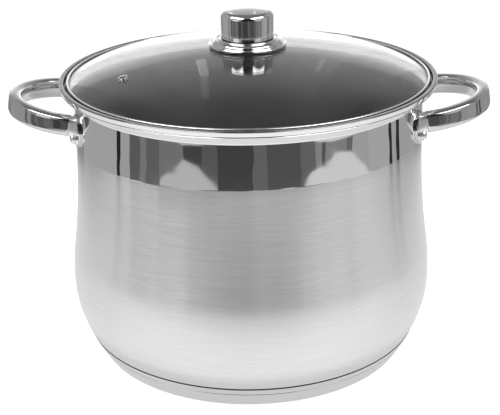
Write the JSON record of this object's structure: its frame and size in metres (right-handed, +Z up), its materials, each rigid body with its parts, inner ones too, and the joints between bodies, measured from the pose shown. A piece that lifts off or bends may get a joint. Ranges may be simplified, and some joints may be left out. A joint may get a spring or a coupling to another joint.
{
  "type": "water bath canner",
  "caption": "Belly-shaped stainless steel canning pot with a capsule base, loop handles, a domed glass lid with a steel knob, and a lift-out wire jar rack with folding handles.",
  "frame": {"origin": "on the pot's axis, at the underside of the base", "axes": "+Z up along the pot's axis, the two side handles along X, the front towards -Y"},
  "size_m": [0.3914, 0.302, 0.2831],
  "materials": {
    "brushed_steel": "fine brushed body, mirror-polished neck band",
    "handle_steel": "polished, slightly satin",
    "polished_steel": "mirror polished",
    "lid_glass": "clear tempered glass",
    "spreader_aluminium": "plain",
    "knob_plastic": "matte",
    "silicone": "matte",
    "fastener_steel": "plain",
    "rack_wire": "bright drawn wire"
  },
  "bodies": {
    "pot": {"pot_shell": "brushed_steel", "base_cap": "brushed_steel", "heat_spreader": "spreader_aluminium", "left_handle": "handle_steel", "right_handle": "handle_steel", "left_handle_brackets": "handle_steel", "right_handle_brackets": "handle_steel", "left_spot_welds": "handle_steel", "right_spot_welds": "handle_steel"},
    "lid": {"lid_glass": "lid_glass", "lid_rim_band": "polished_steel", "vent_grommet": "polished_steel", "knob_cap": "polished_steel", "knob_flange": "polished_steel", "knob_core": "knob_plastic", "upper_gasket": "silicone", "lower_gasket": "silicone", "clamp_washer": "fastener_steel", "spring_washer": "fastener_steel", "knob_screw": "fastener_steel"},
    "rack": {"rack_ring": "rack_wire", "rack_bars": "rack_wire", "rack_stays": "rack_wire", "rack_feet": "rack_wire"},
    "left_lifter": {"rack_left_handle": "rack_wire"},
    "right_lifter": {"rack_right_handle": "rack_wire"}
  },
  "joints": [
    {"name": "lid_lift", "type": "slide", "parent": "pot", "child": "lid", "axis": [0, 0, 1], "range_m": [0, 0.2]},
    {"name": "rack_lift", "type": "slide", "parent": "pot", "child": "rack", "axis": [0, 0, 1], "range_m": [0, 0.115]},
    {"name": "left_lifter_fold", "type": "hinge", "parent": "rack", "child": "left_lifter", "pos_m": [-0.1, 0, 0.02682], "axis": [0, -1, 0], "range_deg": [0, 95]},
    {"name": "right_lifter_fold", "type": "hinge", "parent": "rack", "child": "right_lifter", "pos_m": [0.1, 0, 0.02682], "axis": [0, 1, 0], "range_deg": [0, 95]}
  ]
}
